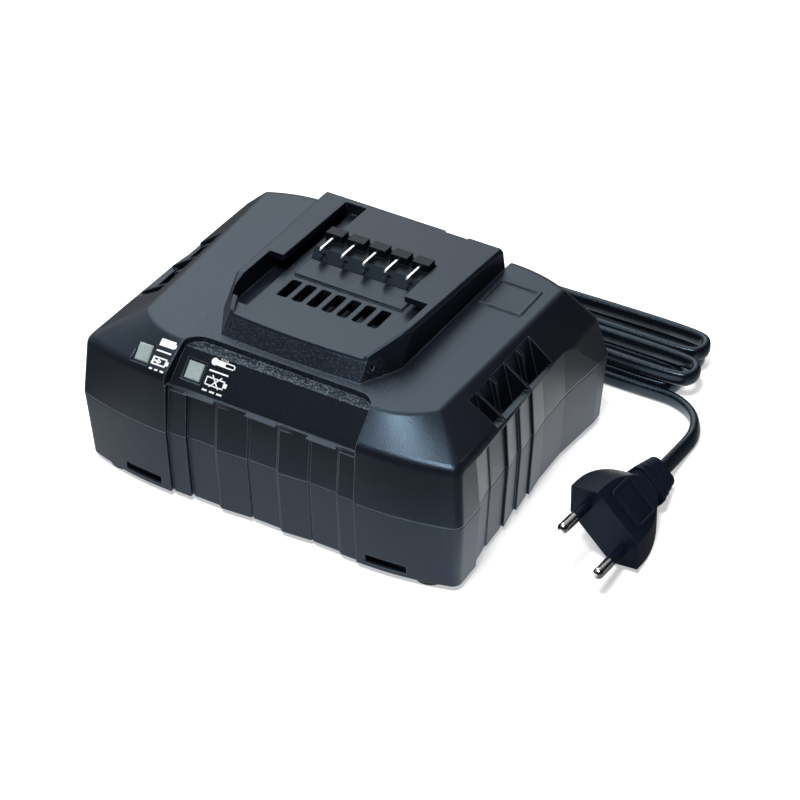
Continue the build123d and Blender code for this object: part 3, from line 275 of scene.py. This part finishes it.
def bright_metal(name, colour, roughness):
    """Plated or drawn metal with faint level streaks."""
    m = Shader(name, metallic=1.0)
    streak = m.noise(1.0, 2, vector=m.stretched(METAL_STREAKS))
    darker = tuple(c * 0.8 for c in colour[:3]) + (1,)
    m.feed("Base Color", m.mix(m.ramp(streak, 0.35, 0.65, 0, 1), darker, colour))
    m.feed("Roughness", m.ramp(streak, 0.3, 0.7, roughness * 0.7, roughness * 1.3))
    m.feed("Normal", m.bump(streak, 0.004 * MM))
    return m.material


def light_guide():
    """Translucent light grey window."""
    m = Shader("window_plastic", transmission_weight=0.25)
    soft = m.noise(500, 3)
    m.feed("Base Color", m.mix(m.ramp(soft, 0.3, 0.7, 0, 1), (0.33, 0.40, 0.41, 1),
                                (0.43, 0.51, 0.52, 1)))
    m.feed("Roughness", m.ramp(soft, 0.3, 0.7, 0.32, 0.46))
    m.feed("Normal", m.bump(m.noise(1600, 2), 0.02 * MM))
    return m.material


def circuit_board():
    """Green solder mask with copper tracks showing through as paler lines."""
    m = Shader("board")
    track = m.node("ShaderNodeTexBrick", {"Vector": m.place, "Scale": 160.0, "Mortar Size": 0.03},
                   offset=0.37)
    colour = m.mix(track.outputs["Fac"], (0.012, 0.075, 0.03, 1), (0.03, 0.14, 0.06, 1))
    m.feed("Base Color", colour)
    m.feed("Roughness", m.ramp(m.noise(900, 2), 0.3, 0.7, 0.22, 0.34))
    m.feed("Normal", m.bump(track.outputs["Fac"], 0.04 * MM))
    return m.material


def copper_winding():
    """Enamelled copper wire in fine layers."""
    m = Shader("copper_winding", metallic=0.8)
    wave = m.node("ShaderNodeTexWave", {"Vector": m.place, "Scale": 330.0, "Distortion": 0.4},
                  bands_direction="Z")
    colour = m.mix(wave.outputs["Fac"], (0.18, 0.05, 0.012, 1), (0.62, 0.22, 0.06, 1))
    m.feed("Base Color", colour)
    m.feed("Roughness", m.ramp(m.noise(700, 2), 0.3, 0.7, 0.24, 0.36))
    m.feed("Normal", m.bump(wave.outputs["Fac"], 0.1 * MM))
    return m.material


MATERIALS = {
    "housing_plastic": housing_plastic("housing_plastic", 0.006, 0.34),
    "block_plastic": plain_plastic("block_plastic", grey(0.003, 1.4), 0.4,
                                   specular_ior_level=0.25),
    "window_plastic": light_guide(),
    "foot_rubber": plain_plastic("foot_rubber", grey(0.012, 1.05), 0.62, 1400, 0.05 * MM),
    "cord_rubber": plain_plastic("cord_rubber", (0.003, 0.004, 0.0065, 1), 0.28, 900),
    "contact_metal": bright_metal("contact_metal", (0.86, 0.87, 0.88, 1), 0.22),
    "pin_metal": bright_metal("pin_metal", (0.80, 0.82, 0.84, 1), 0.16),
    "screw_steel": bright_metal("screw_steel", (0.55, 0.55, 0.57, 1), 0.34),
    "sink_aluminium": bright_metal("sink_aluminium", (0.68, 0.70, 0.72, 1), 0.4),
    "board": circuit_board(),
    "ferrite": plain_plastic("ferrite", grey(0.045, 1.02), 0.6, 1300),
    "copper_winding": copper_winding(),
    "can_sleeve": plain_plastic("can_sleeve", (0.015, 0.022, 0.05, 1), 0.3),
    "component_black": plain_plastic("component_black", grey(0.016, 1.0), 0.5),
    "led_lens": plain_plastic("led_lens", (0.6, 0.6, 0.55, 1), 0.3),
    "fan_plastic": plain_plastic("fan_plastic", grey(0.014, 1.05), 0.46),
}
PLUG_PLASTIC = plain_plastic("plug_plastic", (0.003, 0.0045, 0.011, 1), 0.42, 1300,
                             specular_ior_level=0.2)
# Nodes whose look differs a little from their slot's.
NODE_MATERIALS = {"lower_housing": housing_plastic("lower_plastic", 0.010, 0.48),
                  "plug_body": PLUG_PLASTIC, "pin_sleeves": PLUG_PLASTIC}


def dress_nodes():
    """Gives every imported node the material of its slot, or its own version of it."""
    for part in frame["record"]["subparts"]:
        mesh = nodes[part["node"]].data
        mesh.materials.clear()
        slot_material = MATERIALS[part["material_slot"]]
        mesh.materials.append(NODE_MATERIALS.get(part["node"], slot_material))


# ---------------------------------------------------------------- mains lead
CORD_WIDTH = 5.6 * MM
CORD_THICKNESS = 3.4 * MM
CORD_BED = 2.9  # height of its centre in the lower layer, in mm
CORD_UPPER = 8.6  # and in the upper one
PROFILE_POINTS = 20
PROFILE_ROUNDING = (0.8, 0.62)  # for its thickness and its width: 1 is round and 0 square

# Points of the route in mm, as in the part's source.
EXIT_ROUTE = [
    (-58, 77.6, 14),
    (-58, 84.8, 14),
    (-55.2, 92.6, 11.6),
    (-49.0, 99.0, 7.2),
    (-40.5, 102.6, CORD_BED),
    (-32, 102.6, CORD_BED),
]
# Strands of the hank: y at the left, y at the right, height, and x where its turn begins.
STRANDS = [
    (102.4, 100.9, CORD_BED, 83.7),
    (89.0, 89.7, CORD_BED, -31.0),
    (98.0, 100.4, CORD_UPPER, 85.7),
    (88.4, 89.4, CORD_UPPER, -30.0),
    (77.0, 74.9, CORD_UPPER, 88.7),
    (84.6, 86.0, CORD_UPPER, -30.5),
    (75.6, 74.4, CORD_BED, 82.7),
    (85.0, 85.6, CORD_BED, -30.0),
]
PLUG_ROUTE = [
    (78, 70.4, CORD_BED),
    (92, 71.0, CORD_BED),
    (102, 65.5, CORD_BED),
    (106.2, 56, 3.1),
    (105.6, 47, CORD_BED),
    (105.61, 36.78, 4.51),
    (105.61, 28.9, 5.91),
]
LEAD_JOIN = (66, 70.4, CORD_BED)  # on the way from the hank's last turn to the plug
LEAD_STRAND = (70.4, 70.4, CORD_BED, 62)
TURN_POINTS = 4
LEFT_ALONG, RIGHT_ALONG = 0.0, 62.0  # x of the points along each strand
TWIST = math.radians(50.3)  # the lead turns from its edge to the plug's roll


def hank():
    """Points of the wound hank: two along each strand and four round each turn."""
    points = []
    heading = 1
    for here, after in zip(STRANDS, STRANDS[1:] + [LEAD_STRAND]):
        left, right, height, turn_x = here
        for x in (LEFT_ALONG, RIGHT_ALONG)[::heading]:
            share = (x - LEFT_ALONG) / (RIGHT_ALONG - LEFT_ALONG)
            points.append((x, left + share * (right - left), height))
        start, end = (right, after[1]) if heading > 0 else (left, after[0])
        radius = abs(end - start) / 2
        reach = radius / math.cos(math.pi / 2 / TURN_POINTS)
        side = 1 if end > start else -1
        for k in range(TURN_POINTS):
            angle = math.pi * (k + 0.5) / TURN_POINTS
            climb = (k + 0.5) / TURN_POINTS
            points.append((turn_x + heading * reach * math.sin(angle),
                           (start + end) / 2 - side * reach * math.cos(angle),
                           height + climb * (after[2] - height)))
        heading = -heading
    return points


def lead_profile():
    """Flat oval section of the lead, standing on edge."""
    data = bpy.data.curves.new("lead_profile", "CURVE")
    data.dimensions = "2D"
    spline = data.splines.new("POLY")
    spline.points.add(PROFILE_POINTS - 1)
    for i in range(PROFILE_POINTS):
        angle = 2 * math.pi * i / PROFILE_POINTS
        c, s = math.cos(angle), math.sin(angle)
        x = math.copysign(abs(c) ** PROFILE_ROUNDING[0], c) * CORD_THICKNESS / 2
        y = math.copysign(abs(s) ** PROFILE_ROUNDING[1], s) * CORD_WIDTH / 2
        spline.points[i].co = (x, y, 0, 1)
    spline.use_cyclic_u = True
    profile = bpy.data.objects.new("lead_profile", data)
    bpy.context.scene.collection.objects.link(profile)
    profile.hide_render = True
    return profile


def mains_lead():
    """The whole lead, from the strain relief through the hank to the plug."""
    route = EXIT_ROUTE + hank() + [LEAD_JOIN] + PLUG_ROUTE
    data = bpy.data.curves.new("mains_cord", "CURVE")
    data.dimensions = "3D"
    data.resolution_u = 6
    data.twist_mode = "Z_UP"
    data.bevel_mode = "OBJECT"
    data.bevel_object = lead_profile()
    data.use_fill_caps = True
    spline = data.splines.new("NURBS")
    spline.points.add(len(route) - 1)
    twisting = len(route) - len(PLUG_ROUTE) + 1
    for i, point in enumerate(route):
        spline.points[i].co = (*(Vector(point) * MM), 1)
        share = max(0, i - twisting) / (len(route) - 1 - twisting)
        spline.points[i].tilt = TWIST * share
    spline.order_u = 3
    spline.use_endpoint_u = True
    lead = bpy.data.objects.new("mains_cord", data)
    bpy.context.scene.collection.objects.link(lead)
    data.materials.append(MATERIALS["cord_rubber"])
    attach(lead, "charger")
    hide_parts("mains_lead", "cord_hank", "plug_lead")


# ---------------------------------------------------------------- printed signs
# Each sign lies in a plane: x across the charger and v up the slope, in mm, from an origin.
SIGN_PLANES = {
    "fault": (Vector((0, -44.5, 57.0)), Vector((0, 10.3, 10.1)).normalized()),
    "charge": (Vector((0, -45.3, 59.8)), Vector((0, 12.0, 8.15)).normalized()),
}
# Strokes: sign, x and v of both ends, width.
STROKES = [
    ("fault", -22.6, -2.05, -19.2, -2.05, 1.85),
    ("fault", -19.3, -1.32, -16.4, -1.32, 0.42),
    ("fault", -19.3, -2.78, -16.4, -2.78, 0.42),
    ("fault", -16.45, -1.15, -15.75, -1.75, 0.42),
    ("fault", -15.75, -1.5, -15.75, -2.6, 0.42),
    ("fault", -16.45, -2.95, -15.75, -2.35, 0.42),
    ("fault", -21.3, -0.95, -21.3, -0.3, 0.26),
    ("fault", -20.5, -0.95, -20.5, -0.3, 0.26),
    ("fault", -19.7, -0.95, -19.7, -0.3, 0.26),
    ("fault", -18.9, -0.95, -18.9, -0.3, 0.26),
    ("fault", -24.3, -5.15, -16.9, -5.15, 0.55),
    ("fault", -24.35, -7.45, -17.2, -7.45, 0.42),
    ("fault", -24.35, -10.0, -17.2, -10.0, 0.42),
    ("fault", -24.15, -7.4, -24.15, -10.1, 0.42),
    ("fault", -17.4, -7.4, -17.4, -10.1, 0.42),
    ("fault", -17.2, -8.6, -16.2, -8.6, 1.5),
    ("fault", -22.4, -6.45, -18.9, -10.6, 0.42),
    ("fault", -18.7, -6.45, -22.4, -10.55, 0.42),
    ("fault", -24.4, -12.0, -22.5, -12.0, 0.6),
    ("fault", -21.6, -12.0, -19.7, -12.0, 0.6),
    ("fault", -18.8, -12.0, -16.8, -12.0, 0.6),
    ("charge", -43.36, -3.3, -37.51, -3.3, 2.6),
    ("charge", -37.51, -3.5, -36.93, -3.5, 1.4),
    ("charge", -43.4, -6.42, -37.62, -6.42, 0.55),
    ("charge", -43.28, -8.75, -37.93, -8.75, 0.5),
    ("charge", -43.28, -11.2, -37.93, -11.2, 0.5),
    ("charge", -42.98, -8.6, -42.98, -11.3, 0.8),
    ("charge", -38.09, -8.6, -38.09, -11.3, 0.5),
    ("charge", -37.93, -10, -37.01, -10, 1.5),
    ("charge", -42.48, -10, -40.94, -10, 0.65),
    ("charge", -41.32, -9.2, -40.01, -10, 0.5),
    ("charge", -41.32, -10.8, -40.01, -10, 0.5),
    ("charge", -41.17, -9.65, -41.17, -10.35, 0.6),
    ("charge", -43.17, -13, -41.94, -13, 0.6),
    ("charge", -41.01, -13, -39.78, -13, 0.6),
    ("charge", -38.93, -13, -37.47, -13, 0.6),
]
BULB = ("fault", -23.35, -2.0, 1.3)  # round foot of the thermometer: sign, x, v, radius
BULB_SIDES = 20
CELL = 0.5  # longest side of the pieces that follow the housing's curve
PRINT_LIFT = 0.03  # of the print above the surface
PRINT_REACH = 5  # height over a sign's plane from which the surface is sought


def on_housing(tree, sign, x, v):
    """Point on the housing under a point of a sign's plane, just clear of the surface."""
    origin, up = SIGN_PLANES[sign]
    normal = Vector((1, 0, 0)).cross(up)
    start = (origin + Vector((x, 0, 0)) + up * v + normal * PRINT_REACH) * MM
    place, facing, _, _ = tree.ray_cast(start, -normal)
    return place + facing * PRINT_LIFT * MM


def printed_signs():
    """Plain white signs beside the light windows, laid on the housing like print."""
    tree = BVHTree.FromObject(nodes["upper_housing"], bpy.context.evaluated_depsgraph_get())
    points, faces = [], []

    def lay(sign, grid):
        first, across = len(points), len(grid[0])
        points.extend(on_housing(tree, sign, x, v) for row in grid for x, v in row)
        for i in range(len(grid) - 1):
            for j in range(across - 1):
                a = first + i * across + j
                faces.append((a, a + across, a + across + 1, a + 1))

    for sign, x0, v0, x1, v1, width in STROKES:
        length = math.hypot(x1 - x0, v1 - v0)
        along = ((x1 - x0) / length, (v1 - v0) / length)
        steps = max(1, math.ceil(length / CELL))
        rows = max(1, math.ceil(width / CELL))
        lay(sign, [[(x0 + along[0] * length * i / steps - along[1] * width * (j / rows - 0.5),
                     v0 + along[1] * length * i / steps + along[0] * width * (j / rows - 0.5))
                    for j in range(rows + 1)] for i in range(steps + 1)])
    sign, x0, v0, radius = BULB
    lay(sign, [[(x0 + radius * share * math.cos(2 * math.pi * i / BULB_SIDES),
                 v0 + radius * share * math.sin(2 * math.pi * i / BULB_SIDES))
                for share in (0.01, 0.5, 1)] for i in range(BULB_SIDES + 1)])
    mesh = bpy.data.meshes.new("printed_signs")
    mesh.from_pydata(points, [], faces)
    signs = bpy.data.objects.new("printed_signs", mesh)
    bpy.context.scene.collection.objects.link(signs)
    m = Shader("white_print", roughness=0.5)
    m.feed("Base Color", m.mix(m.noise(900, 3), (0.70, 0.73, 0.75, 1), (0.86, 0.88, 0.90, 1)))
    m.feed("Normal", m.bump(m.noise(2600, 2), 0.01 * MM))
    mesh.materials.append(m.material)
    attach(signs, "charger")


# ---------------------------------------------------------------- stage, light and world
FLOOR_HALF = 4.0
FLOOR_GLOW = 0.5
HOUSING_HALF = (73.5 * MM, 59.0 * MM)
# What the object's gloss shows of the floor: white near the housing, dark further off.
PAPER_NEAR, PAPER_FAR = 0.03, 0.065  # distances from the housing where it starts and ends to fade
PAPER_DARK = 0.08
PAPER_RIGHT = 1.7  # how much brighter it is to the right of the housing
PAPER_RIGHT_FROM = (70 * MM, 75 * MM)  # x where that starts and is full
SIDE_FADE = 1.6  # how much faster it fades to both sides than to the front and rear


def make_floor():
    """Pale floor with the object's shadow; the gloss sees a white that fades with distance."""
    mesh = bpy.data.meshes.new("floor")
    h = FLOOR_HALF
    mesh.from_pydata([(-h, -h, 0), (h, -h, 0), (h, h, 0), (-h, h, 0)], [], [(0, 1, 2, 3)])
    floor = bpy.data.objects.new("floor", mesh)
    bpy.context.scene.collection.objects.link(floor)
    m = Shader("floor", roughness=0.9, emission_color=(1, 1, 1, 1))
    xyz = m.node("ShaderNodeSeparateXYZ", {"Vector": m.place})
    clear = [m.math("MAXIMUM", m.math("SUBTRACT", m.math("ABSOLUTE", xyz.outputs[axis]), half), 0)
             for axis, half in enumerate(HOUSING_HALF)]
    clear[0] = m.math("MULTIPLY", clear[0], SIDE_FADE)
    away = m.math("POWER", m.math("ADD", *[m.math("POWER", c, 2.0) for c in clear]), 0.5)
    paper = m.ramp(away, PAPER_NEAR, PAPER_FAR, 1.0, PAPER_DARK)
    right = m.ramp(xyz.outputs["X"], *PAPER_RIGHT_FROM, 1.0, PAPER_RIGHT)
    paper = m.math("MULTIPLY", paper, right)
    glossy = m.node("ShaderNodeLightPath").outputs["Is Glossy Ray"]
    white = m.mix(m.noise(3, 2), (0.93, 0.93, 0.93, 1), (0.95, 0.95, 0.95, 1))
    m.feed("Base Color", m.mix(glossy, white, (0, 0, 0, 1)))
    m.feed("Emission Strength", m.ramp(glossy, 0, 1, FLOOR_GLOW, paper))
    mesh.materials.append(m.material)


SKY_BRIGHT = Vector((-0.75, 0.45, 0.48)).normalized()  # the pale side of the surroundings
SKY_FADE = {"From Min": 0.3, "From Max": 0.9, "To Min": 0.01, "To Max": 0.8}
LAMP_TARGET = Vector((0, 0, 0.03))


def area_light(name, place, size, power):
    """Soft rectangular lamp that faces the object's middle."""
    data = bpy.data.lights.new(name, "AREA")
    data.shape = "RECTANGLE"
    data.size, data.size_y = size
    data.energy = power
    lamp = bpy.data.objects.new(name, data)
    lamp.location = place
    lamp.rotation_mode = "QUATERNION"
    lamp.rotation_quaternion = (LAMP_TARGET - Vector(place)).to_track_quat("-Z", "Y")
    bpy.context.scene.collection.objects.link(lamp)


def make_light():
    """Two lamps, and a world that is white to the camera and a one-sided sky to all else."""
    world = bpy.data.worlds.new("world")
    world.use_nodes = True
    bpy.context.scene.world = world
    tree = world.node_tree
    background = tree.nodes["Background"]
    path = tree.nodes.new("ShaderNodeLightPath")
    seen = tree.nodes.new("ShaderNodeMath")
    seen.operation = "MAXIMUM"
    tree.links.new(path.outputs["Is Camera Ray"], seen.inputs[0])
    tree.links.new(path.outputs["Is Transmission Ray"], seen.inputs[1])
    heading = tree.nodes.new("ShaderNodeTexCoord")
    facing = tree.nodes.new("ShaderNodeVectorMath")
    facing.operation = "DOT_PRODUCT"
    tree.links.new(heading.outputs["Generated"], facing.inputs[0])
    facing.inputs[1].default_value = SKY_BRIGHT
    sky = tree.nodes.new("ShaderNodeMapRange")
    for socket, value in SKY_FADE.items():
        sky.inputs[socket].default_value = value
    tree.links.new(facing.outputs["Value"], sky.inputs["Value"])
    strength = tree.nodes.new("ShaderNodeMix")
    tree.links.new(seen.outputs[0], strength.inputs[0])
    tree.links.new(sky.outputs["Result"], strength.inputs[2])
    strength.inputs[3].default_value = 1.0
    tree.links.new(strength.outputs[0], background.inputs["Strength"])
    background.inputs["Color"].default_value = (1, 1, 1, 1)
    area_light("key", (-1.0, 1.1, 1.5), (1.3, 1.3), 13)
    area_light("edge", (0.05, -0.55, 1.65), (0.5, 0.5), 30)


def finish_view():
    """Standard colours."""
    bpy.context.scene.view_settings.view_transform = "Standard"


make_camera()
dress_nodes()
mains_lead()
printed_signs()
make_floor()
make_light()
finish_view()
